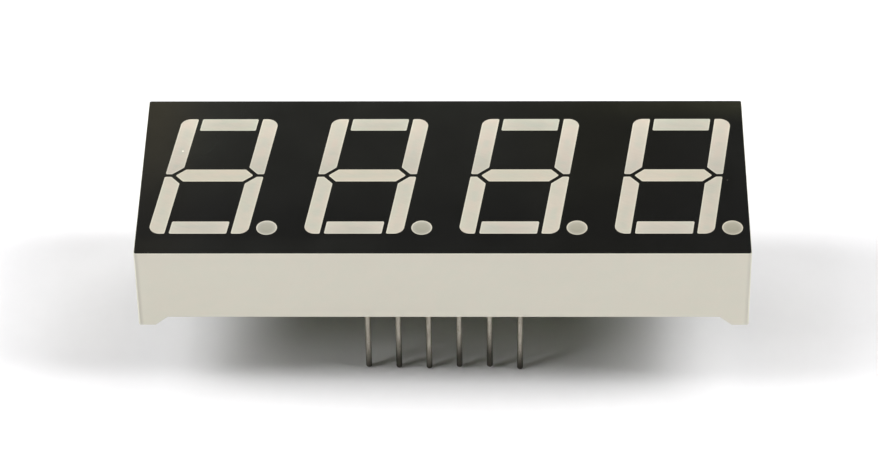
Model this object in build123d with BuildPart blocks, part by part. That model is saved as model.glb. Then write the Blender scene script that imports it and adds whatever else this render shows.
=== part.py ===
from build123d import *

import math
import os

os.makedirs("parts", exist_ok=True)

# Four digit, seven segment LED display module for a printed circuit board.
# X runs along the row of digits, Y up the digits, Z out of the face.
# The origin is the centre of the two pin rows, on the plane that the module
# seats on: the undersides of its two end rails lie at Z = 0.
# All sizes are in millimetres.

# ------------------------------------------------------------ housing
BODY_LENGTH = 50.4  # along X, at the rails
BODY_WIDTH = 19.1  # along Y, at the rails
BODY_HEIGHT = 8.0  # end rails to the black face
DRAFT = 0.5  # degrees on each outer wall: the face is the smaller end
FILM_THICKNESS = 0.05  # black printed face
CORNER_RADIUS = 0.20  # upright corner edges
FACE_EDGE_RADIUS = 0.04  # edge between the walls and the face
RAIL_HEIGHT = 0.9  # how far the end rails stand below the long walls
RAIL_FOOT = 1.4  # length of a rail's foot along the long wall
RAIL_SLOPE = 1.05  # run of the slope from the foot up to the long wall
WALL = 1.0  # outer wall round the rear recess
RECESS_CORNER = 0.5

# ------------------------------------------------------------ digits
DIGIT_PITCH = 12.7
DIGIT_HEIGHT = 14.22
LEAN = math.tan(math.radians(8.0))  # italic slant
UPRIGHT_OUT = 4.095  # half width over the uprights, before the slant
UPRIGHT_IN = 2.715
BAR_HALF = 2.355  # half length of the top and bottom bars
BAR_DEPTH = 1.46
MIDDLE_TIP = 3.22  # half length of the middle bar, to its points
MIDDLE_HALF = 0.735
SPLIT = 0.165  # half the gap between an upper and a lower upright
SPLIT_SUM = 3.72  # |x| + |y| along an upright's mitred end
OUTER_ROUND = 0.85  # rounded outside corners of the digit
SMALL_ROUND = 0.12
POINT_X = 4.633  # decimal point, from the digit's centre
POINT_Y = -6.398
POINT_RADIUS = 0.85

# ------------------------------------------------------------ light guides
COLLAR = 0.45  # straight part of each cavity, under the face
THROAT_UPRIGHT = (0.62, 0.32)  # cavity at the board, as a share of its mouth
THROAT_BAR = (0.42, 0.60)
THROAT_MIDDLE = (0.32, 0.60)
POINT_THROAT = 0.60
THROAT_CORNER = 0.22
THROAT_ROUND = 0.05

# ------------------------------------------------------------ circuit board
BOARD_FRONT = 2.9  # height of the face that carries the LED dice
BOARD_THICKNESS = 1.0
BOARD_GAP = 0.12  # between the board's edge and the recess wall
COPPER = 0.035
HOLE_RADIUS = 0.45
PAD_RADIUS = 0.70
TRACK = 0.40
BUS_COUNT = 8
BUS_PITCH = 1.40
BUS_HALF = 22.4
VIA_RADIUS = 0.36
POTTING_REAR = 1.12  # height of the potting's rear surface
MENISCUS = 0.10  # how far the potting climbs the walls and the pins
MENISCUS_WIDTH = 0.24

# ------------------------------------------------------------ LED dice
DIE = 0.25
DIE_HEIGHT = 0.20
DIE_PAD = 0.45
DIE_AT = -0.22  # along the cavity, from its centre
BOND_PAD = (0.25, 0.35)
BOND_AT = 0.32
WIRE_RADIUS = 0.02
WIRE_RISE = 0.30

# ------------------------------------------------------------ pins
PIN_RADIUS = 0.25
PIN_PITCH = 2.54
PIN_ROWS = 15.24
# length of each pin below the end rails, in the order of PIN_USES: cropped by
# eye rather than to a gauge, so the module stands on pins 3, 6 and 10
PIN_LENGTHS = [
    6.70, 6.76, 6.86, 6.70, 6.68, 6.96,
    6.90, 6.83, 6.84, 6.86, 6.78, 6.72,
]
PIN_TIP_ROUND = 0.17
SHANK_FROM = 0.90  # the shank swells from here up to the head
SHANK_RADIUS = 0.32
PIN_HEAD_RADIUS = 0.44
PIN_HEAD = 0.22
HEAD_CHAMFER = 0.07
HEAD_RELIEF = 0.40  # groove in the housing over the pin heads
HEAD_RELIEF_HALF = 0.55
SOLDER_RADIUS = 0.64
SOLDER_DROP = 0.52
SOLDER_HOLLOW = 0.60  # radius of the hollow flank of each joint

HOUSING_TOP = BODY_HEIGHT - FILM_THICKNESS
COLLAR_BASE = HOUSING_TOP - COLLAR
BOARD_REAR = BOARD_FRONT - BOARD_THICKNESS
HALF = DIGIT_HEIGHT / 2
FACE_LENGTH = BODY_LENGTH - 2 * BODY_HEIGHT * math.tan(math.radians(DRAFT))
FACE_WIDTH = BODY_WIDTH - 2 * BODY_HEIGHT * math.tan(math.radians(DRAFT))
RECESS_LENGTH = BODY_LENGTH - 2 * WALL
RECESS_WIDTH = BODY_WIDTH - 2 * WALL
BOARD_LENGTH = RECESS_LENGTH - 2 * BOARD_GAP - 0.06
BOARD_WIDTH = RECESS_WIDTH - 2 * BOARD_GAP - 0.06
DIGITS = {n: (n - 2.5) * DIGIT_PITCH for n in (1, 2, 3, 4)}

# Pins 1 to 6 run left to right under the digits, 7 to 12 right to left above.
PIN_USES = [
    "seg_e", "seg_d", "seg_dp", "seg_c", "seg_g", "digit_4",
    "seg_b", "digit_3", "digit_2", "seg_f", "seg_a", "digit_1",
]
PIN_SPOTS = [((i - 2.5) * PIN_PITCH, -PIN_ROWS / 2) for i in range(6)] + [
    ((2.5 - i) * PIN_PITCH, PIN_ROWS / 2) for i in range(6)
]


def lean(points):
    """Points of an upright figure, slanted to the right."""
    return [(x + y * LEAN, y) for x, y in points]


def turned(points, sx, sy):
    """The outline of the mirror image segment, kept anticlockwise."""
    out = [(sx * x, sy * y) for x, y in points]
    return out if sx * sy > 0 else out[::-1]


# Outlines of the segments before the slant, from the digit's centre.
UPRIGHT = [
    (UPRIGHT_IN, SPLIT_SUM - UPRIGHT_IN),
    (SPLIT_SUM - SPLIT, SPLIT),
    (UPRIGHT_OUT, SPLIT),
    (UPRIGHT_OUT, HALF),
    (UPRIGHT_IN, HALF),
]
BAR = [
    (-BAR_HALF, HALF - BAR_DEPTH),
    (BAR_HALF, HALF - BAR_DEPTH),
    (BAR_HALF, HALF),
    (-BAR_HALF, HALF),
]
MIDDLE = [
    (-MIDDLE_TIP, 0),
    (MIDDLE_HALF - MIDDLE_TIP, -MIDDLE_HALF),
    (MIDDLE_TIP - MIDDLE_HALF, -MIDDLE_HALF),
    (MIDDLE_TIP, 0),
    (MIDDLE_TIP - MIDDLE_HALF, MIDDLE_HALF),
    (MIDDLE_HALF - MIDDLE_TIP, MIDDLE_HALF),
]
UP_X, UP_Y = (UPRIGHT_OUT + UPRIGHT_IN) / 2, (HALF + SPLIT) / 2
BAR_Y = HALF - BAR_DEPTH / 2

# Each segment: its outline, the middle of its cavity, the share of the mouth
# that is left at the board, its largely rounded corner, and the way it runs.
SEGMENTS = {
    "a": (BAR, (0, BAR_Y), THROAT_BAR, None, "x"),
    "b": (UPRIGHT, (UP_X, UP_Y), THROAT_UPRIGHT, (UPRIGHT_OUT, HALF), "y"),
    "c": (turned(UPRIGHT, 1, -1), (UP_X, -UP_Y), THROAT_UPRIGHT,
          (UPRIGHT_OUT, -HALF), "y"),
    "d": (turned(BAR, -1, -1), (0, -BAR_Y), THROAT_BAR, None, "x"),
    "e": (turned(UPRIGHT, -1, -1), (-UP_X, -UP_Y), THROAT_UPRIGHT,
          (-UPRIGHT_OUT, -HALF), "y"),
    "f": (turned(UPRIGHT, -1, 1), (-UP_X, UP_Y), THROAT_UPRIGHT,
          (-UPRIGHT_OUT, HALF), "y"),
    "g": (MIDDLE, (0, 0), THROAT_MIDDLE, None, "x"),
}


def outline(points, corner, corner_round, small_round):
    """One slanted segment outline with its corners rounded."""
    with BuildSketch(mode=Mode.PRIVATE) as shape:
        with BuildLine():
            Polyline(*lean(points), close=True)
        make_face()
        if corner is None:
            fillet(shape.vertices(), radius=small_round)
        else:
            at = (*lean([corner])[0], 0)
            fillet(shape.vertices().sort_by_distance(at)[1:], radius=small_round)
            fillet(shape.vertices().sort_by_distance(at)[:1], radius=corner_round)
    return shape.sketch


def shrunk(points, middle, share):
    """The outline drawn in towards the middle of its cavity."""
    mx, my = middle
    return [(mx + (x - mx) * share[0], my + (y - my) * share[1]) for x, y in points]


def guide_shape(key, digit_x):
    """One light guide: a straight collar under the face, then a funnel down to
    the board."""
    mouth_plane = Plane((digit_x, 0, COLLAR_BASE))
    throat_plane = Plane((digit_x, 0, BOARD_FRONT))
    if key == "point":
        with BuildPart() as guide:
            with BuildSketch(mouth_plane):
                with Locations((POINT_X, POINT_Y)):
                    Circle(POINT_RADIUS)
            extrude(amount=BODY_HEIGHT - COLLAR_BASE)
            with BuildSketch(throat_plane):
                with Locations((POINT_X, POINT_Y)):
                    Circle(POINT_THROAT)
            with BuildSketch(mouth_plane):
                with Locations((POINT_X, POINT_Y)):
                    Circle(POINT_RADIUS)
            loft(ruled=True)
        return guide.part
    points, middle, share, corner, _ = SEGMENTS[key]
    mouth = outline(points, corner, OUTER_ROUND, SMALL_ROUND)
    throat = outline(
        shrunk(points, middle, share),
        shrunk([corner], middle, share)[0] if corner else None,
        THROAT_CORNER,
        THROAT_ROUND,
    )
    with BuildPart() as guide:
        with BuildSketch(mouth_plane):
            add(mouth)
        extrude(amount=BODY_HEIGHT - COLLAR_BASE)
        with BuildSketch(throat_plane):
            add(throat)
        with BuildSketch(mouth_plane):
            add(mouth)
        loft(ruled=True)
    return guide.part


def cavity_spot(key, digit_x):
    """Middle of a cavity on the board, and the direction that it runs in."""
    if key == "point":
        return digit_x + POINT_X, POINT_Y, (1, 0)
    _, middle, _, _, way = SEGMENTS[key]
    x, y = lean([middle])[0]
    return digit_x + x, y, (1, 0) if way == "x" else (0, 1)


GUIDE_KEYS = ["a", "b", "c", "d", "e", "f", "g", "point"]
SPOTS = {
    (n, key): cavity_spot(key, digit_x)
    for n, digit_x in DIGITS.items()
    for key in GUIDE_KEYS
}
GUIDES = {
    (n, key): guide_shape(key, digit_x)
    for n, digit_x in DIGITS.items()
    for key in GUIDE_KEYS
}

# The hollow at the rear of the housing, with the same draft as the walls.
with BuildPart() as recess:
    with BuildSketch():
        RectangleRounded(RECESS_LENGTH, RECESS_WIDTH, RECESS_CORNER)
    extrude(amount=BOARD_FRONT, taper=DRAFT)

# ------------------------------------------------------------ reflector housing
# One moulding: face plate, four walls with the end rails, and the reflector
# block with its thirty two funnels and the moulding pockets between them.
with BuildPart() as reflector_housing:
    with BuildSketch():
        RectangleRounded(BODY_LENGTH, BODY_WIDTH, CORNER_RADIUS)
    extrude(amount=HOUSING_TOP, taper=DRAFT)
    fillet(
        reflector_housing.faces().sort_by(Axis.Z)[-1].edges(),
        radius=FACE_EDGE_RADIUS,
    )
    # the long walls stop short of the board below; the end walls reach it
    with BuildSketch(Plane.XZ.offset(-BODY_WIDTH)):
        with BuildLine():
            Polyline(
                (-BODY_LENGTH / 2 + RAIL_FOOT, 0),
                (-BODY_LENGTH / 2 + RAIL_FOOT + RAIL_SLOPE, RAIL_HEIGHT),
                (BODY_LENGTH / 2 - RAIL_FOOT - RAIL_SLOPE, RAIL_HEIGHT),
                (BODY_LENGTH / 2 - RAIL_FOOT, 0),
                close=True,
            )
        make_face()
    extrude(amount=2 * BODY_WIDTH, mode=Mode.SUBTRACT)
    add(recess.part, mode=Mode.SUBTRACT)
    # moulding pockets inside the loops of each figure and between the figures
    with BuildSketch(Plane.XY.offset(BOARD_FRONT)):
        for digit_x in DIGITS.values():
            for low, high in ((1.62, 4.80), (-4.80, -1.62)):
                with BuildLine():
                    Polyline(
                        *[
                            (digit_x + x, y)
                            for x, y in lean(
                                [(-1.8, low), (1.8, low), (1.8, high), (-1.8, high)]
                            )
                        ],
                        close=True,
                    )
                make_face()
        for digit_x in (-DIGIT_PITCH, 0.0, DIGIT_PITCH):
            with BuildLine():
                Polyline(
                    *[
                        (digit_x + x, y)
                        for x, y in lean(
                            [(-1.2, -4.2), (1.2, -4.2), (1.2, 6.3), (-1.2, 6.3)]
                        )
                    ],
                    close=True,
                )
            make_face()
    extrude(amount=3.6, taper=1.5, mode=Mode.SUBTRACT)
    # grooves that clear the heads of the pins
    with BuildSketch(Plane.XY.offset(BOARD_FRONT)):
        with GridLocations(1, PIN_ROWS, 1, 2):
            SlotOverall(5 * PIN_PITCH + 2.2, 2 * HEAD_RELIEF_HALF)
    extrude(amount=HEAD_RELIEF, mode=Mode.SUBTRACT)
    add(list(GUIDES.values()), mode=Mode.SUBTRACT)
reflector_housing.part.label = "reflector_housing"
export_step(reflector_housing.part, "parts/reflector_housing.step")

# ------------------------------------------------------------ black face
# Printed black layer over the whole face, open at the segments.
with BuildPart() as black_face:
    with BuildSketch(Plane.XY.offset(HOUSING_TOP)):
        RectangleRounded(
            FACE_LENGTH - 2 * FACE_EDGE_RADIUS,
            FACE_WIDTH - 2 * FACE_EDGE_RADIUS,
            CORNER_RADIUS - FACE_EDGE_RADIUS,
        )
    extrude(amount=FILM_THICKNESS)
    add(list(GUIDES.values()), mode=Mode.SUBTRACT)
black_face.part.label = "black_face"
export_step(black_face.part, "parts/black_face.step")

# ------------------------------------------------------------ circuit board
with BuildPart() as circuit_board:
    with BuildSketch(Plane.XY.offset(BOARD_REAR)):
        RectangleRounded(BOARD_LENGTH, BOARD_WIDTH, RECESS_CORNER)
    extrude(amount=BOARD_THICKNESS)
    with Locations(*[(x, y, BOARD_FRONT) for x, y in PIN_SPOTS]):
        Hole(HOLE_RADIUS, depth=BOARD_THICKNESS)
circuit_board.part.label = "circuit_board"
export_step(circuit_board.part, "parts/circuit_board.step")

# Copper on the rear of the board: a ring round each pin with a short tail to a
# plated hole, and one line along the board for each segment letter.
with BuildPart() as rear_copper:
    with BuildSketch(Plane.XY.offset(BOARD_REAR - COPPER)):
        with Locations(*PIN_SPOTS):
            Circle(PAD_RADIUS)
        for x, y in PIN_SPOTS:
            inward = -1 if y > 0 else 1
            with Locations((x, y + inward * 0.62)):
                Rectangle(TRACK, 1.24)
            with Locations((x, y + inward * 1.24)):
                Circle(VIA_RADIUS)
        for i in range(BUS_COUNT):
            y = (i - (BUS_COUNT - 1) / 2) * BUS_PITCH
            with Locations((0, y)):
                Rectangle(2 * BUS_HALF, TRACK)
            with Locations(
                *[(digit_x + (i - 3.5) * 1.05, y) for digit_x in DIGITS.values()]
            ):
                Circle(VIA_RADIUS)
            with Locations((-BUS_HALF, y), (BUS_HALF, y)):
                Circle(VIA_RADIUS)
        with Locations(*PIN_SPOTS):
            Circle(HOLE_RADIUS, mode=Mode.SUBTRACT)
    extrude(amount=COPPER)
rear_copper.part.label = "rear_copper"
export_step(rear_copper.part, "parts/rear_copper.step")

# Plated pads on the front of the board, two at the foot of each cavity.
with BuildPart() as front_pads:
    with BuildSketch(Plane.XY.offset(BOARD_FRONT)):
        for x, y, (ux, uy) in SPOTS.values():
            with Locations((x + DIE_AT * ux, y + DIE_AT * uy)):
                Rectangle(DIE_PAD, DIE_PAD)
            with Locations((x + BOND_AT * ux, y + BOND_AT * uy)):
                Rectangle(
                    BOND_PAD[0] if ux else BOND_PAD[1],
                    BOND_PAD[1] if ux else BOND_PAD[0],
                )
    extrude(amount=COPPER)
front_pads.part.label = "front_pads"
export_step(front_pads.part, "parts/front_pads.step")

# ------------------------------------------------------------ LED dice
for n in DIGITS:
    with BuildPart() as led_dice:
        with BuildSketch(Plane.XY.offset(BOARD_FRONT + COPPER)):
            for key in GUIDE_KEYS:
                x, y, (ux, uy) = SPOTS[n, key]
                with Locations((x + DIE_AT * ux, y + DIE_AT * uy)):
                    Rectangle(DIE, DIE)
        extrude(amount=DIE_HEIGHT)
    led_dice.part.label = f"led_dice_digit_{n}"
    export_step(led_dice.part, f"parts/led_dice_digit_{n}.step")


def bond_wire(key, n):
    """Fine wire that loops from the top of a die down to the pad beside it."""
    x, y, (ux, uy) = SPOTS[n, key]
    die_top = BOARD_FRONT + COPPER + DIE_HEIGHT
    start = (x + DIE_AT * ux, y + DIE_AT * uy, die_top)
    end = (x + BOND_AT * ux, y + BOND_AT * uy, BOARD_FRONT + COPPER)
    with BuildPart() as wire:
        with BuildLine() as loop:
            ThreePointArc(start, (x, y, die_top + WIRE_RISE), end)
        with BuildSketch(Plane(origin=loop.line @ 0, z_dir=loop.line % 0)):
            Circle(WIRE_RADIUS)
        sweep()
        # flat where it is welded to the die and to the pad
        with BuildSketch(Plane.XY.offset(BOARD_FRONT - 1)):
            with Locations((x + BOND_AT * ux, y + BOND_AT * uy)):
                Rectangle(0.3, 0.3)
        extrude(amount=1 + COPPER, mode=Mode.SUBTRACT)
        with BuildSketch(Plane.XY.offset(BOARD_FRONT - 1)):
            with Locations((x + DIE_AT * ux, y + DIE_AT * uy)):
                Rectangle(DIE, DIE)
        extrude(amount=1 + COPPER + DIE_HEIGHT, mode=Mode.SUBTRACT)
    return wire.part


WIRES = {(n, key): bond_wire(key, n) for n in DIGITS for key in GUIDE_KEYS}
with BuildPart() as bond_wires:
    add(list(WIRES.values()))
bond_wires.part.label = "bond_wires"
export_step(bond_wires.part, "parts/bond_wires.step")

# ------------------------------------------------------------ light guides
# Milky resin cast in each cavity, round the die, its wire and its two pads.
for (n, key), shape in GUIDES.items():
    x, y, (ux, uy) = SPOTS[n, key]
    with BuildPart() as light_guide:
        add(shape)
        with BuildSketch(Plane.XY.offset(BOARD_FRONT)):
            with Locations((x + DIE_AT * ux, y + DIE_AT * uy)):
                Rectangle(DIE_PAD, DIE_PAD)
            with Locations((x + BOND_AT * ux, y + BOND_AT * uy)):
                Rectangle(
                    BOND_PAD[0] if ux else BOND_PAD[1],
                    BOND_PAD[1] if ux else BOND_PAD[0],
                )
        extrude(amount=COPPER, mode=Mode.SUBTRACT)
        with BuildSketch(Plane.XY.offset(BOARD_FRONT)):
            with Locations((x + DIE_AT * ux, y + DIE_AT * uy)):
                Rectangle(DIE, DIE)
        extrude(amount=COPPER + DIE_HEIGHT, mode=Mode.SUBTRACT)
        add(WIRES[n, key], mode=Mode.SUBTRACT)
    name = f"digit_{n}_point" if key == "point" else f"digit_{n}_segment_{key}"
    light_guide.part.label = name
    export_step(light_guide.part, f"parts/{name}.step")

# ------------------------------------------------------------ pins
# Round tinned wire, rounded at the tip. The shank swells a little on its way
# through the board, and its head stands on the board's front.
PINS = []
for i, (x, y) in enumerate(PIN_SPOTS):
    with BuildPart() as pin:
        with BuildSketch(Plane((x, y, -PIN_LENGTHS[i]))):
            Circle(PIN_RADIUS)
        extrude(amount=PIN_LENGTHS[i] + SHANK_FROM)
        fillet(pin.faces().sort_by(Axis.Z)[0].edges(), radius=PIN_TIP_ROUND)
        with BuildSketch(Plane((x, y, SHANK_FROM))):
            Circle(PIN_RADIUS)
        with BuildSketch(Plane((x, y, BOARD_FRONT))):
            Circle(SHANK_RADIUS)
        loft()
        with BuildSketch(Plane((x, y, BOARD_FRONT))):
            Circle(PIN_HEAD_RADIUS)
        extrude(amount=PIN_HEAD)
        chamfer(pin.faces().sort_by(Axis.Z)[-1].edges(), length=HEAD_CHAMFER)
    name = f"pin_{i + 1:02d}_{PIN_USES[i]}"
    pin.part.label = name
    export_step(pin.part, f"parts/{name}.step")
    PINS.append(pin.part)

# Solder in each plated hole, with a hollow fillet on the rear of the board.
with BuildPart() as solder_joints:
    for x, y in PIN_SPOTS:
        with BuildSketch(Plane((x, y, 0), x_dir=(1, 0, 0), z_dir=(0, -1, 0))):
            with BuildLine():
                Polyline(
                    (0, BOARD_REAR - SOLDER_DROP),
                    (0, BOARD_FRONT),
                    (HOLE_RADIUS, BOARD_FRONT),
                    (HOLE_RADIUS, BOARD_REAR - COPPER),
                    (SOLDER_RADIUS, BOARD_REAR - COPPER),
                    (SOLDER_RADIUS, BOARD_REAR - COPPER - 0.04),
                )
                RadiusArc(
                    (SOLDER_RADIUS, BOARD_REAR - COPPER - 0.04),
                    (PIN_RADIUS + 0.04, BOARD_REAR - SOLDER_DROP),
                    -SOLDER_HOLLOW,
                )
                Line(
                    (PIN_RADIUS + 0.04, BOARD_REAR - SOLDER_DROP),
                    (0, BOARD_REAR - SOLDER_DROP),
                )
            make_face()
        revolve(axis=Axis((x, y, 0), (0, 0, 1)))
    add(PINS, mode=Mode.SUBTRACT)
solder_joints.part.label = "solder_joints"
export_step(solder_joints.part, "parts/solder_joints.step")

# ------------------------------------------------------------ rear potting
# Clear resin that fills the recess behind and round the board. Its surface
# climbs a little where it meets the walls and the pins.
with BuildPart() as pan:
    with BuildSketch():
        RectangleRounded(
            RECESS_LENGTH - 2 * MENISCUS_WIDTH,
            RECESS_WIDTH - 2 * MENISCUS_WIDTH,
            RECESS_CORNER,
        )
        with Locations(*PIN_SPOTS):
            Circle(PIN_RADIUS + MENISCUS_WIDTH / 2, mode=Mode.SUBTRACT)
    extrude(amount=POTTING_REAR)
    fillet(pan.faces().sort_by(Axis.Z)[-1].edges(), radius=MENISCUS)

with BuildPart() as rear_potting:
    add(recess.part)
    with BuildSketch():
        Rectangle(BODY_LENGTH, BODY_WIDTH)
    extrude(amount=POTTING_REAR - MENISCUS, mode=Mode.SUBTRACT)
    add(pan.part, mode=Mode.SUBTRACT)
    with BuildSketch(Plane.XY.offset(BOARD_REAR)):
        RectangleRounded(BOARD_LENGTH, BOARD_WIDTH, RECESS_CORNER)
    extrude(amount=BOARD_THICKNESS, mode=Mode.SUBTRACT)
    add(rear_copper.part, mode=Mode.SUBTRACT)
    add(solder_joints.part, mode=Mode.SUBTRACT)
    add(PINS, mode=Mode.SUBTRACT)
rear_potting.part.label = "rear_potting"
export_step(rear_potting.part, "parts/rear_potting.step")
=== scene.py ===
import math

import bpy
from mathutils import Matrix, Vector

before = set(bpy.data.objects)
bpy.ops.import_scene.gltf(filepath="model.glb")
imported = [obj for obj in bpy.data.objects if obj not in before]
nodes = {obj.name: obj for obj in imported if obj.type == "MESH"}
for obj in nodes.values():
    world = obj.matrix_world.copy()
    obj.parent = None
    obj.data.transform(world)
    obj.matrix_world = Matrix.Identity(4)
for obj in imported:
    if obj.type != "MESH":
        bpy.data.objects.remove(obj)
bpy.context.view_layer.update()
MM = 0.001

# ------------------------------------------------------------------ camera
# Pinhole view from in front of and above the module, in millimetres round a
# point at the middle of the black face.
FRAME_WIDTH = 878.0
FOCAL_PIXELS = 3747.0
PITCH, YAW, ROLL = (math.radians(a) for a in (42.755, -1.412, -0.973))
DISTANCE = 311.16
ASIDE, ABOVE = -0.385, -4.575
FACE_HEIGHT = 8.0

look = Vector(
    (
        math.sin(YAW) * math.cos(PITCH),
        math.cos(YAW) * math.cos(PITCH),
        -math.sin(PITCH),
    )
)
flat_right = Vector((math.cos(YAW), -math.sin(YAW), 0.0))
flat_up = flat_right.cross(look)
right = math.cos(ROLL) * flat_right + math.sin(ROLL) * flat_up
up = -math.sin(ROLL) * flat_right + math.cos(ROLL) * flat_up
eye = -DISTANCE * look + ASIDE * right + ABOVE * up + Vector((0, 0, FACE_HEIGHT))

lens = bpy.data.cameras.new("camera")
lens.sensor_fit = "HORIZONTAL"
lens.sensor_width = 36.0
lens.lens = FOCAL_PIXELS / FRAME_WIDTH * 36.0
lens.clip_start, lens.clip_end = 0.01, 20.0
camera = bpy.data.objects.new("camera", lens)
bpy.context.scene.collection.objects.link(camera)
turn = Matrix((right, up, -look)).transposed().to_4x4()
camera.matrix_world = Matrix.Translation(eye * MM) @ turn
bpy.context.scene.camera = camera


# ------------------------------------------------------------------ node help
class Nodes:
    """Short hand for building a node tree."""

    def __init__(self, tree):
        self.tree = tree
        tree.nodes.clear()

    def put(self, kind, **props):
        node = self.tree.nodes.new(kind)
        for key, value in props.items():
            setattr(node, key, value)
        return node

    def feed(self, socket, value):
        if isinstance(value, bpy.types.NodeSocket):
            self.tree.links.new(value, socket)
        elif value is not None:
            if hasattr(socket.default_value, "__len__") and len(value) == 3:
                if len(socket.default_value) == 4:
                    value = (*value, 1.0)
            socket.default_value = value

    def math(self, op, a, b=None, c=None, clamp=False):
        node = self.put("ShaderNodeMath", operation=op, use_clamp=clamp)
        for socket, value in zip(node.inputs, (a, b, c)):
            self.feed(socket, value)
        return node.outputs[0]

    def add(self, *values):
        total = values[0]
        for v in values[1:]:
            total = self.math("ADD", total, v)
        return total

    def sub(self, a, b):
        return self.math("SUBTRACT", a, b)

    def mul(self, a, b):
        return self.math("MULTIPLY", a, b)

    def least(self, *values):
        out = values[0]
        for v in values[1:]:
            out = self.math("MINIMUM", out, v)
        return out

    def most(self, *values):
        out = values[0]
        for v in values[1:]:
            out = self.math("MAXIMUM", out, v)
        return out

    def ramp(self, value, low, high, out_low=0.0, out_high=1.0, smooth=True):
        node = self.put("ShaderNodeMapRange")
        node.interpolation_type = "SMOOTHSTEP" if smooth else "LINEAR"
        node.clamp = True
        for key, v in (
            ("Value", value),
            ("From Min", low),
            ("From Max", high),
            ("To Min", out_low),
            ("To Max", out_high),
        ):
            self.feed(node.inputs[key], v)
        return node.outputs["Result"]

    def vec(self, op, a, b=None):
        node = self.put("ShaderNodeVectorMath", operation=op)
        self.feed(node.inputs[0], a)
        if b is not None:
            self.feed(node.inputs[1], b)
        return node.outputs["Value" if op in ("DOT_PRODUCT", "LENGTH") else "Vector"]

    def turned(self, at, degrees):
        """Coordinates turned about Z."""
        node = self.put("ShaderNodeVectorRotate", rotation_type="Z_AXIS")
        self.feed(node.inputs["Vector"], at)
        node.inputs["Angle"].default_value = math.radians(degrees)
        return node.outputs[0]

    def noise(self, at, scale, detail=2.0, rough=0.5, kind="Fac"):
        node = self.put("ShaderNodeTexNoise")
        self.feed(node.inputs["Vector"], at)
        self.feed(node.inputs["Scale"], scale)
        self.feed(node.inputs["Detail"], detail)
        self.feed(node.inputs["Roughness"], rough)
        return node.outputs[0 if kind == "Fac" else 1]

    def blend(self, share, a, b):
        node = self.put("ShaderNodeMix", data_type="RGBA")
        self.feed(node.inputs[0], share)
        self.feed(node.inputs[6], a)
        self.feed(node.inputs[7], b)
        return node.outputs[2]

    def tint(self, colour, gain):
        """The colour times a number."""
        node = self.put("ShaderNodeMix", data_type="RGBA", blend_type="MULTIPLY")
        node.inputs[0].default_value = 1.0
        self.feed(node.inputs[6], colour)
        mixed = self.put("ShaderNodeCombineColor")
        for socket in mixed.inputs:
            self.feed(socket, gain)
        self.tree.links.new(mixed.outputs[0], node.inputs[7])
        return node.outputs[2]

    def warmed(self, colour, share, factor):
        """The colour times another colour, by a share."""
        node = self.put("ShaderNodeMix", data_type="RGBA", blend_type="MULTIPLY")
        self.feed(node.inputs[0], share)
        self.feed(node.inputs[6], colour)
        self.feed(node.inputs[7], factor)
        return node.outputs[2]

    def rounded(self, radius_mm):
        """Normals as if the sharp edges had a small radius."""
        node = self.put("ShaderNodeBevel", samples=4)
        node.inputs["Radius"].default_value = radius_mm * MM
        return node.outputs[0]

    def bump(self, height, distance_mm, strength=1.0, normal=None):
        node = self.put("ShaderNodeBump")
        node.inputs["Strength"].default_value = strength
        node.inputs["Distance"].default_value = distance_mm * MM
        self.feed(node.inputs["Height"], height)
        if normal is not None:
            self.feed(node.inputs["Normal"], normal)
        return node.outputs["Normal"]


def place(n):
    """Coordinates on the part in millimetres, whole and split."""
    coords = n.put("ShaderNodeTexCoord").outputs["Object"]
    at = n.vec("MULTIPLY", coords, (1000.0, 1000.0, 1000.0))
    split = n.put("ShaderNodeSeparateXYZ")
    n.feed(split.inputs[0], at)
    return at, split.outputs[0], split.outputs[1], split.outputs[2]


def stretched(n, at, sx, sy, sz):
    return n.vec("MULTIPLY", at, (sx, sy, sz))


def spot(n, x, y, cx, cy):
    """Distance from a point of the face."""
    dx, dy = n.sub(x, cx), n.sub(y, cy)
    return n.math("SQRT", n.add(n.mul(dx, dx), n.mul(dy, dy)))


def material(name, make):
    made = bpy.data.materials.new(name)
    made.use_nodes = True
    n = Nodes(made.node_tree)
    shader = n.put("ShaderNodeBsdfPrincipled")
    out = n.put("ShaderNodeOutputMaterial")
    n.tree.links.new(shader.outputs[0], out.inputs[0])
    make(n, shader, out)
    return made


def sock(shader, **values):
    for key, value in values.items():
        shader.inputs[key.replace("_", " ")].default_value = value


# ------------------------------------------------------------------ materials
LEAN = math.tan(math.radians(8.0))
PITCH_X = 12.7
HALF = 7.11


def housing_look(n, s, out):
    """Pale moulded plastic: faint flow marks and a fine matt grain."""
    at, x, y, z = place(n)
    flow = n.noise(stretched(n, at, 0.10, 0.16, 0.30), 1.0, 2.0, 0.5)
    cloud = n.noise(at, 0.9, 3.0, 0.55)
    grain = n.noise(at, 26.0, 2.0, 0.6)
    shade = n.add(
        n.ramp(flow, 0.3, 0.7, -0.006, 0.006),
        n.ramp(cloud, 0.3, 0.7, -0.005, 0.005),
        n.ramp(grain, 0.3, 0.7, -0.006, 0.006),
        1.0,
    )
    body = n.blend(n.ramp(cloud, 0.35, 0.65), (0.784, 0.758, 0.638), (0.791, 0.752, 0.634))
    # painted shade: the end walls are made darker, the left one more than the right, to hold back the strong side
    # light that falls on them
    painted_end_shade = n.mul(n.ramp(x, 24.7, 25.05, 1.0, 0.87), n.ramp(x, -24.7, -25.05, 1.0, 0.80))
    n.feed(s.inputs["Base Color"], n.tint(body, n.mul(shade, painted_end_shade)))
    n.feed(s.inputs["Roughness"], n.ramp(grain, 0.25, 0.75, 0.44, 0.56))
    sock(s, IOR=1.52)
    height = n.add(n.mul(grain, 0.6), n.mul(n.noise(at, 7.0, 3.0, 0.6), 0.4))
    n.feed(s.inputs["Normal"], n.bump(height, 0.004, 0.5, n.rounded(0.06)))


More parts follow.
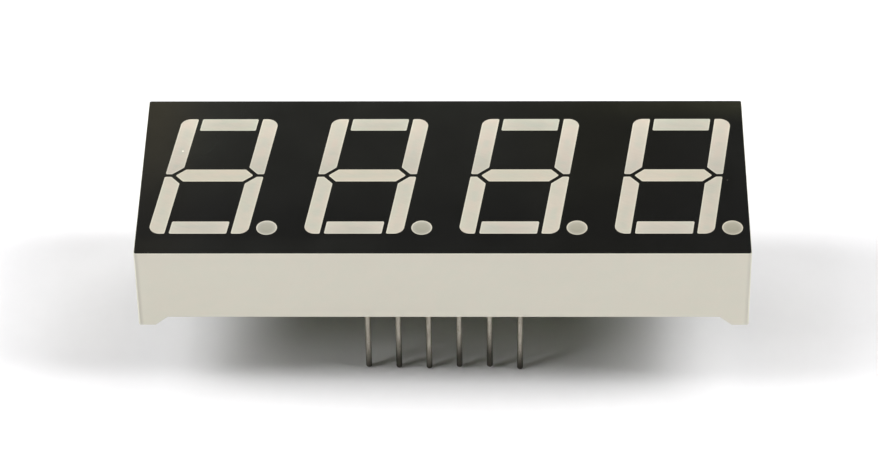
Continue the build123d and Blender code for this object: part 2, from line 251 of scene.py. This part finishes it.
def face_look(n, s, out):
    """Satin black print over the moulding, a little uneven, with a painted sheen that is lighter and browner
    towards the left end and lighter towards the far edge.
    """
    at, x, y, z = place(n)
    patch = n.noise(at, 0.22, 3.0, 0.5)
    grain = n.noise(at, 18.0, 3.0, 0.65)
    peel = n.noise(at, 2.6, 2.0, 0.5)
    # painted sheen: the black is lighter towards the left end, the far edge and its two corners, and along the
    # near edge on the left, as the lights' reflection would make it
    right_end = n.ramp(x, 10.0, 24.0)
    painted_sheen = n.add(
        n.ramp(x, 2.0, 20.0, 0.0030, 0.0010),
        n.ramp(y, 5.5, 9.4, 0.0, 0.0020),
        n.mul(n.ramp(y, -7.5, 3.0, 0.0, 0.0038), n.ramp(x, 6.0, 22.0, 1.0, 0.25)),
        n.mul(n.ramp(y, -7.0, -8.4, 0.0, 0.0024), n.ramp(x, -10.0, 0.0, 1.0, 0.2)),
        n.mul(n.ramp(x, -14.0, -24.5, 0.0, 0.0108), n.ramp(y, -5.0, 9.2)),
        n.mul(n.mul(right_end, 0.0085), n.ramp(y, 6.2, 9.4)),
    )
    hue = n.blend(n.ramp(x, -19.0, -24.5), (1.0, 1.02, 0.80), (1.12, 1.0, 0.62))
    hue = n.blend(n.ramp(x, 4.0, 15.0), hue, (1.02, 1.01, 0.50))
    ink_and_sheen = n.tint(hue, n.mul(painted_sheen, n.ramp(patch, 0.3, 0.7, 0.90, 1.10)))
    dust = n.ramp(spot(n, x, y, 23.5, -0.6), 0.03, 0.08, 1.0, 0.0)
    n.feed(s.inputs["Base Color"], n.blend(dust, ink_and_sheen, (0.050, 0.044, 0.036)))
    n.feed(s.inputs["Roughness"], n.ramp(n.add(n.mul(patch, 0.4), n.mul(grain, 0.6)), 0.3, 0.7, 0.21, 0.27))
    sock(s, IOR=1.30)
    height = n.add(n.mul(grain, 0.35), n.mul(peel, 0.65))
    n.feed(s.inputs["Normal"], n.bump(height, 0.003, 0.5))


def resin_look(n, s, out):
    """Milky cast resin. It is lighter at the rim of each cavity, where the
    white wall stands behind it."""
    at, x, y, z = place(n)
    digit = n.sub(n.math("FLOORED_MODULO", n.add(x, 2 * PITCH_X), PITCH_X), PITCH_X / 2)
    u = n.math("ABSOLUTE", n.sub(digit, n.mul(y, LEAN)))
    v = n.math("ABSOLUTE", y)
    upright = n.least(
        n.sub(u, 2.715),
        n.sub(4.095, u),
        n.sub(v, 0.165),
        n.sub(HALF, v),
        n.mul(n.sub(n.add(u, v), 3.72), 0.7071),
    )
    bar = n.least(n.sub(2.355, u), n.sub(v, HALF - 1.46), n.sub(HALF, v))
    middle = n.least(
        n.sub(0.735, v), n.mul(n.sub(n.sub(3.22, u), v), 0.7071)
    )
    dot = n.sub(0.85, spot(n, digit, y, 4.633, -6.398))
    inside = n.most(upright, bar, middle, dot)
    is_dot = n.math("GREATER_THAN", dot, -0.05)
    soft = n.noise(at, 0.55, 3.0, 0.5)
    streak = n.noise(stretched(n, at, 0.35, 0.9, 0.4), 1.0, 3.0, 0.55)
    grain = n.noise(at, 14.0, 3.0, 0.6)
    body = n.blend(n.ramp(soft, 0.35, 0.65), (0.412, 0.400, 0.334), (0.440, 0.396, 0.334))
    deep = n.blend(n.ramp(streak, 0.35, 0.65), (0.394, 0.388, 0.330), (0.430, 0.386, 0.326))
    body = n.blend(n.ramp(inside, 0.25, 0.62), body, deep)
    point = n.blend(n.ramp(inside, 0.10, 0.45), (0.312, 0.300, 0.252), (0.272, 0.264, 0.214))
    colour = n.blend(is_dot, body, point)
    colour = n.blend(n.ramp(inside, 0.16, 0.02), colour, (0.500, 0.476, 0.396))
    # the guides of the uprights are paler at their far ends, and the long
    # bars have a greyer middle
    rise = n.math("DIVIDE", n.math("FLOORED_MODULO", n.add(y, 2 * HALF), HALF), HALF)
    is_upright = n.math("GREATER_THAN", upright, -0.05)
    is_bar = n.math("GREATER_THAN", bar, -0.05)
    is_middle = n.math("GREATER_THAN", middle, -0.05)
    far_half = n.math("GREATER_THAN", y, 0.0)
    near_half = n.sub(1.0, far_half)
    hatch = n.noise(n.vec("MULTIPLY", n.turned(at, 24.0), (0.9, 7.0, 1.0)), 1.0, 2.0, 0.6)
    shade = n.add(
        1.0,
        n.mul(n.mul(is_upright, far_half), n.ramp(rise, 0.10, 0.95, -0.085, 0.165, smooth=False)),
        n.mul(n.mul(is_upright, near_half), n.ramp(rise, 0.10, 0.95, 0.012, 0.020)),
        n.mul(n.mul(is_upright, n.ramp(x, 12.6, 13.6)), n.mul(near_half, -0.030)),
        n.mul(is_bar, n.ramp(inside, 0.20, 0.65, 0.0, -0.020)),
        n.mul(is_bar, n.ramp(u, 0.5, 2.1, -0.040, 0.004)),
        n.mul(is_bar, n.ramp(y, 5.65, 7.11, -0.018, 0.040)),
        n.mul(is_bar, n.ramp(y, -7.11, -5.65, -0.015, 0.030)),
        n.mul(is_middle, 0.030),
        n.ramp(x, 17.0, 23.0, 0.0, -0.040),
        n.mul(is_dot, n.ramp(y, -7.1, -5.7, -0.065, 0.105)),
        n.ramp(grain, 0.3, 0.7, -0.012, 0.012),
        n.ramp(streak, 0.3, 0.7, -0.015, 0.015),
        n.ramp(hatch, 0.3, 0.7, -0.022, 0.022),
    )
    colour = n.tint(colour, shade)
    colour = n.warmed(colour, is_middle, (1.010, 0.992, 0.950))
    colour = n.warmed(colour, n.mul(is_bar, far_half), (0.990, 1.020, 1.000))
    colour = n.warmed(colour, n.mul(is_upright, n.mul(far_half, rise)), (1.020, 0.990, 0.965))
    colour = n.warmed(colour, n.mul(is_upright, near_half), (1.000, 0.996, 0.975))
    colour = n.warmed(colour, n.mul(is_dot, n.ramp(x, -12.0, 22.0)), (0.985, 0.960, 0.915))
    # painted highlight: a small pale dot on the upper left upright of the first digit
    painted_glint = n.ramp(spot(n, x, y, -21.87, 3.06), 0.04, 0.11, 1.0, 0.0)
    n.feed(s.inputs["Base Color"], n.blend(painted_glint, colour, (0.80, 0.77, 0.66)))
    n.feed(s.inputs["Roughness"], n.ramp(soft, 0.3, 0.7, 0.34, 0.46))
    sock(s, IOR=1.50)
    sag = n.ramp(inside, 0.0, 0.35)
    height = n.add(n.mul(sag, -0.8), n.mul(grain, 0.10), n.mul(soft, 0.4))
    n.feed(s.inputs["Normal"], n.bump(height, 0.008, 0.6))


def pin_look(n, s, out):
    """Tinned steel wire: drawn along its length, granular, duller at the tip."""
    at, x, y, z = place(n)
    drawn = n.noise(stretched(n, at, 9.0, 9.0, 0.9), 1.0, 3.0, 0.6)
    grains = n.noise(at, 9.0, 4.0, 0.65)
    speck = n.ramp(n.noise(at, 5.0, 2.0, 0.5), 0.60, 0.72)
    # each pin turns darker towards its tip, starting from a height of its own
    tip_reach = n.noise(stretched(n, at, 0.47, 0.1, 0.05), 1.0, 0.0)
    tip = n.ramp(n.add(z, n.ramp(tip_reach, 0.3, 0.7, -1.2, 1.2)), -3.2, -6.2, 0.0, 1.0, smooth=False)
    tin = n.blend(n.ramp(drawn, 0.35, 0.65), (0.400, 0.372, 0.314), (0.290, 0.268, 0.222))
    tin = n.blend(n.mul(speck, 0.60), tin, (0.160, 0.148, 0.120))
    n.feed(s.inputs["Base Color"], n.blend(n.mul(tip, 0.88), tin, (0.040, 0.037, 0.030)))
    sock(s, Metallic=1.0)
    n.feed(s.inputs["Roughness"], n.add(n.ramp(grains, 0.3, 0.7, 0.28, 0.44), n.mul(tip, 0.10)))
    height = n.add(n.mul(drawn, 0.5), n.mul(grains, 0.5))
    n.feed(s.inputs["Normal"], n.bump(height, 0.010, 0.7))


def board_look(n, s, out):
    """Glass cloth laminate under a green coating."""
    at, x, y, z = place(n)
    warp = n.math("SINE", n.mul(x, 2 * math.pi / 0.45))
    weft = n.math("SINE", n.mul(y, 2 * math.pi / 0.45))
    cloth = n.mul(warp, weft)
    cloud = n.noise(at, 1.1, 3.0, 0.5)
    shade = n.add(1.0, n.mul(cloth, 0.07), n.ramp(cloud, 0.3, 0.7, -0.10, 0.10))
    edge = n.ramp(n.math("ABSOLUTE", n.sub(z, 2.4)), 0.44, 0.47, 1.0, 0.0)
    green = n.blend(n.ramp(cloud, 0.35, 0.65), (0.024, 0.090, 0.046), (0.032, 0.106, 0.058))
    colour = n.blend(edge, green, (0.36, 0.33, 0.17))
    n.feed(s.inputs["Base Color"], n.tint(colour, shade))
    n.feed(s.inputs["Roughness"], n.ramp(cloud, 0.3, 0.7, 0.26, 0.36))
    n.feed(s.inputs["Normal"], n.bump(n.add(n.mul(cloth, 0.5), cloud), 0.006, 0.5))


def copper_look(n, s, out):
    """Copper tracks under the green coating; the rings round the pins are tinned."""
    at, x, y, z = place(n)
    cloud = n.noise(at, 3.0, 3.0, 0.55)
    near = n.math("ABSOLUTE", n.sub(n.math("ABSOLUTE", y), 7.62))
    ring = n.ramp(near, 0.66, 0.72, 1.0, 0.0)
    track = n.blend(n.ramp(cloud, 0.3, 0.7), (0.088, 0.205, 0.098), (0.114, 0.240, 0.114))
    n.feed(s.inputs["Base Color"], n.blend(ring, track, (0.62, 0.60, 0.56)))
    n.feed(s.inputs["Metallic"], n.mul(ring, 0.9))
    n.feed(s.inputs["Roughness"], n.ramp(cloud, 0.3, 0.7, 0.24, 0.36))
    n.feed(s.inputs["Normal"], n.bump(cloud, 0.006, 0.5))


def plated_look(n, s, out):
    """Gold flash over nickel on the pads."""
    at, x, y, z = place(n)
    cloud = n.noise(at, 8.0, 3.0, 0.6)
    n.feed(s.inputs["Base Color"], n.blend(n.ramp(cloud, 0.3, 0.7), (0.82, 0.60, 0.26), (0.74, 0.52, 0.22)))
    sock(s, Metallic=1.0)
    n.feed(s.inputs["Roughness"], n.ramp(cloud, 0.3, 0.7, 0.25, 0.40))
    n.feed(s.inputs["Normal"], n.bump(cloud, 0.003, 0.5))


def wire_look(n, s, out):
    """Fine gold bonding wire."""
    at, x, y, z = place(n)
    cloud = n.noise(at, 20.0, 2.0, 0.6)
    n.feed(s.inputs["Base Color"], n.blend(n.ramp(cloud, 0.3, 0.7), (0.90, 0.66, 0.24), (0.82, 0.58, 0.20)))
    sock(s, Metallic=1.0)
    n.feed(s.inputs["Roughness"], n.ramp(cloud, 0.3, 0.7, 0.18, 0.30))


def crystal_look(n, s, out):
    """Sawn semiconductor with a metal contact on top."""
    at, x, y, z = place(n)
    cloud = n.noise(at, 16.0, 3.0, 0.6)
    top = n.ramp(z, 3.125, 3.133)
    side = n.blend(n.ramp(cloud, 0.3, 0.7), (0.16, 0.13, 0.11), (0.22, 0.18, 0.15))
    n.feed(s.inputs["Base Color"], n.blend(top, side, (0.70, 0.60, 0.35)))
    n.feed(s.inputs["Metallic"], n.mul(top, 0.8))
    n.feed(s.inputs["Roughness"], n.ramp(cloud, 0.3, 0.7, 0.25, 0.45))


def solder_look(n, s, out):
    """Solder, bright on its hollow flank and frosted in places."""
    at, x, y, z = place(n)
    frost = n.noise(at, 4.5, 4.0, 0.6)
    ripple = n.noise(stretched(n, at, 2.0, 2.0, 5.0), 1.0, 2.0, 0.5)
    n.feed(s.inputs["Base Color"], n.blend(n.ramp(frost, 0.35, 0.65), (0.74, 0.73, 0.71), (0.60, 0.59, 0.57)))
    sock(s, Metallic=1.0)
    n.feed(s.inputs["Roughness"], n.ramp(frost, 0.35, 0.65, 0.16, 0.38))
    n.feed(s.inputs["Normal"], n.bump(n.add(frost, ripple), 0.012, 0.5))


def potting_look(n, s, out):
    """Faintly milky resin poured over the rear of the board, seen through to it."""
    at, x, y, z = place(n)
    swirl = n.noise(at, 0.35, 4.0, 0.55)
    ripple = n.noise(at, 0.7, 2.0, 0.5)
    bubble = n.ramp(n.noise(at, 2.6, 1.0, 0.4), 0.76, 0.80)
    n.feed(s.inputs["Base Color"], n.blend(n.ramp(swirl, 0.3, 0.7), (0.330, 0.290, 0.262), (0.285, 0.250, 0.226)))
    n.feed(s.inputs["Roughness"], n.ramp(swirl, 0.3, 0.7, 0.06, 0.14))
    sock(s, IOR=1.52)
    normal = n.bump(n.add(ripple, n.mul(bubble, 0.15)), 0.05, 0.5)
    n.feed(s.inputs["Normal"], normal)
    through = n.put("ShaderNodeBsdfTransparent")
    n.feed(through.inputs[0], n.blend(n.ramp(swirl, 0.3, 0.7), (0.90, 0.86, 0.76), (0.84, 0.80, 0.68)))
    gloss = n.put("ShaderNodeFresnel")
    gloss.inputs["IOR"].default_value = 1.52
    n.feed(gloss.inputs["Normal"], normal)
    skin = n.put("ShaderNodeMixShader")
    n.feed(skin.inputs[0], n.math("ADD", gloss.outputs[0], n.add(n.ramp(swirl, 0.3, 0.7, 0.19, 0.27), n.mul(bubble, 0.15)), clamp=True))
    n.tree.links.new(through.outputs[0], skin.inputs[1])
    n.tree.links.new(s.outputs[0], skin.inputs[2])
    clear = n.put("ShaderNodeBsdfTransparent")
    mixed = n.put("ShaderNodeMixShader")
    n.feed(mixed.inputs[0], n.put("ShaderNodeNewGeometry").outputs["Backfacing"])
    n.tree.links.new(skin.outputs[0], mixed.inputs[1])
    n.tree.links.new(clear.outputs[0], mixed.inputs[2])
    n.tree.links.new(mixed.outputs[0], out.inputs[0])


LOOKS = {
    "reflector_housing": material("moulded_plastic", housing_look),
    "black_face": material("black_print", face_look),
    "circuit_board": material("board_laminate", board_look),
    "rear_copper": material("board_copper", copper_look),
    "front_pads": material("plated_pads", plated_look),
    "bond_wires": material("gold_wire", wire_look),
    "solder_joints": material("solder_metal", solder_look),
    "rear_potting": material("clear_potting", potting_look),
}
resin = material("milky_resin", resin_look)
tinned = material("tinned_wire", pin_look)
crystal = material("led_crystal", crystal_look)

for name, piece in nodes.items():
    if name.startswith("pin_"):
        look_of = tinned
    elif name.startswith("digit_"):
        look_of = resin
    elif name.startswith("led_dice"):
        look_of = crystal
    else:
        look_of = LOOKS[name]
    piece.data.materials.clear()
    piece.data.materials.append(look_of)
    for polygon in piece.data.polygons:
        polygon.material_index = 0

# The clear resin is seen through, so its skin stands a few micrometres clear
# of the pieces that it touches.
gap = nodes["rear_potting"].modifiers.new("clearance", "DISPLACE")
gap.direction = "NORMAL"
gap.mid_level = 0.0
gap.strength = -0.004 * MM

# ------------------------------------------------------------------ floor
FLOOR_ALBEDO = 0.84
# The module stands on the tips of three of its pins, so the floor passes
# through those three points.
STANDS_ON = [(-1.27, -7.62, -6.86), (6.35, -7.62, -6.96), (-1.27, 7.62, -6.86)]
a, b, c = (Vector(p) * MM for p in STANDS_ON)
tilt = (b - a).cross(c - a).normalized()
if tilt.z < 0:
    tilt = -tilt


def floor_height(px, py):
    return a.z - (tilt.x * (px - a.x) + tilt.y * (py - a.y)) / tilt.z


RINGS, SPOKES, REACH = 6, 64, 6.0
points = [(0.0, 0.0, floor_height(0.0, 0.0))]
for ring in range(1, RINGS + 1):
    radius = REACH * (ring / RINGS) ** 3
    for k in range(SPOKES):
        turn_by = 2 * math.pi * k / SPOKES
        px, py = radius * math.cos(turn_by), radius * math.sin(turn_by)
        points.append((px, py, floor_height(px, py)))
faces = [(0, 1 + k, 1 + (k + 1) % SPOKES) for k in range(SPOKES)]
for ring in range(RINGS - 1):
    low, high = 1 + ring * SPOKES, 1 + (ring + 1) * SPOKES
    for k in range(SPOKES):
        after = (k + 1) % SPOKES
        faces.append((low + k, high + k, high + after, low + after))
floor_mesh = bpy.data.meshes.new("floor")
floor_mesh.from_pydata(points, [], faces)
floor = bpy.data.objects.new("floor", floor_mesh)
bpy.context.scene.collection.objects.link(floor)


def floor_look(n, s, out):
    """Plain matt white, seen from above only."""
    at, x, y, z = place(n)
    paper = n.noise(at, 0.6, 3.0, 0.6)
    n.feed(
        s.inputs["Base Color"],
        n.tint((FLOOR_ALBEDO, FLOOR_ALBEDO * 0.996, FLOOR_ALBEDO * 1.010), n.ramp(paper, 0.3, 0.7, 0.995, 1.005)),
    )
    sock(s, Roughness=1.0, Specular_IOR_Level=0.0)
    clear = n.put("ShaderNodeBsdfTransparent")
    mixed = n.put("ShaderNodeMixShader")
    n.feed(mixed.inputs[0], n.put("ShaderNodeNewGeometry").outputs["Backfacing"])
    n.tree.links.new(s.outputs[0], mixed.inputs[1])
    n.tree.links.new(clear.outputs[0], mixed.inputs[2])
    n.tree.links.new(mixed.outputs[0], out.inputs[0])


floor_mesh.materials.append(material("floor_paper", floor_look))

# ------------------------------------------------------------------ light
# Broad soft lights a long way off: azimuth from +X towards +Y, elevation and
# width across in degrees, strength, and whether gloss shows it.
LIGHTS = [
    (0, 38, 26, 1.90, False),
    (180, 38, 26, 1.56, False),
    (180, 52, 26, 0.79, False),
    (0, 52, 26, 0.78, False),
    (60, 44, 26, 0.74, True),
    (205, 32, 16, 0.61, True),
    (120, 44, 26, 0.43, True),
    (180, 25, 26, 0.25, False),
    (180, 66, 26, 0.10, True),
    (30, 20, 26, 0.07, True),
]
for i, (azimuth, elevation, width, strength, glints) in enumerate(LIGHTS):
    soft = bpy.data.lights.new("soft_light_%d" % (i + 1), "SUN")
    soft.angle = math.radians(width)
    soft.energy = strength
    lamp = bpy.data.objects.new(soft.name, soft)
    bpy.context.scene.collection.objects.link(lamp)
    az, el = math.radians(azimuth), math.radians(elevation)
    source = Vector(
        (math.cos(el) * math.cos(az), math.cos(el) * math.sin(az), math.sin(el))
    )
    lamp.rotation_mode = "QUATERNION"
    lamp.rotation_quaternion = source.to_track_quat("Z", "Y")
    lamp.location = source * 0.5
    lamp.visible_glossy = glints

# A faint even sky that only gloss shows.
sky = bpy.data.lights.new("sky_gloss", "SUN")
sky.angle = math.radians(160.0)
sky.energy = 0.6
dome = bpy.data.objects.new(sky.name, sky)
bpy.context.scene.collection.objects.link(dome)
dome.visible_diffuse = False

# A plain white backdrop, which lights nothing.
world = bpy.data.worlds.new("backdrop")
bpy.context.scene.world = world
world.use_nodes = True
w = Nodes(world.node_tree)
plain = w.put("ShaderNodeBackground")
w.feed(plain.inputs["Color"], (1.0, 1.0, 1.0))
end = w.put("ShaderNodeOutputWorld")
w.tree.links.new(plain.outputs[0], end.inputs[0])
seen_by = world.cycles_visibility
seen_by.camera = True
seen_by.diffuse = seen_by.glossy = seen_by.transmission = seen_by.scatter = False

scene = bpy.context.scene
scene.view_settings.view_transform = "Standard"
scene.view_settings.look = "None"
scene.view_settings.exposure = 0.0
scene.view_settings.gamma = 1.0
